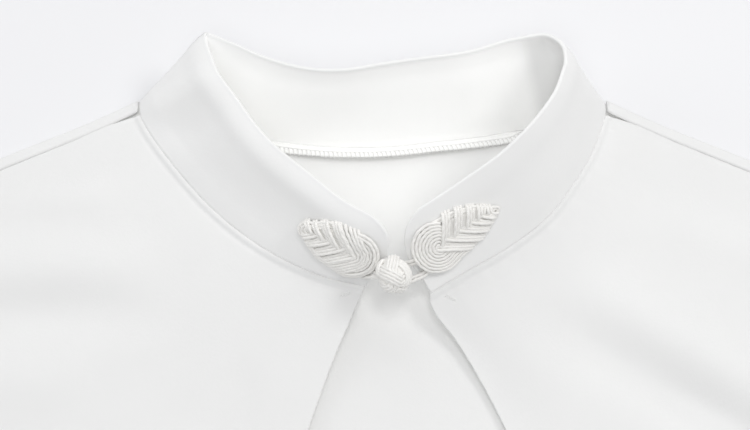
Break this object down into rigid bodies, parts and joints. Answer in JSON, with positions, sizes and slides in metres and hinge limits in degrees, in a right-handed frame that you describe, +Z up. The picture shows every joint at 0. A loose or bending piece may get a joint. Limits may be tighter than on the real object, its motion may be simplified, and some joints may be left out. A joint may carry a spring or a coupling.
{
  "type": "stand-collar top with a front cut-out and a frog closure",
  "caption": "White short-sleeved top laid flat on its back, with a stand collar, a plaited frog closure and a drop-shaped cut-out below it.",
  "frame": {"origin": "on the surface the top lies on, below the middle of its bounding box", "axes": "+X towards the wearer's left sleeve, which is at the right of the picture, +Y from the hem to the neck, +Z up from the surface through the front"},
  "size_m": [0.7036, 0.6271, 0.0422],
  "materials": {
    "cloth": "matte plain weave",
    "cord": "satin cord"
  },
  "bodies": {
    "root": {"back": "cloth", "front": "cloth", "sleeve_left": "cloth", "sleeve_right": "cloth", "collar": "cloth", "neck_seam_allowance": "cloth", "frog_leaf_left": "cord", "frog_leaf_right": "cord", "frog_knot": "cord", "frog_loop": "cord"}
  },
  "joints": []
}
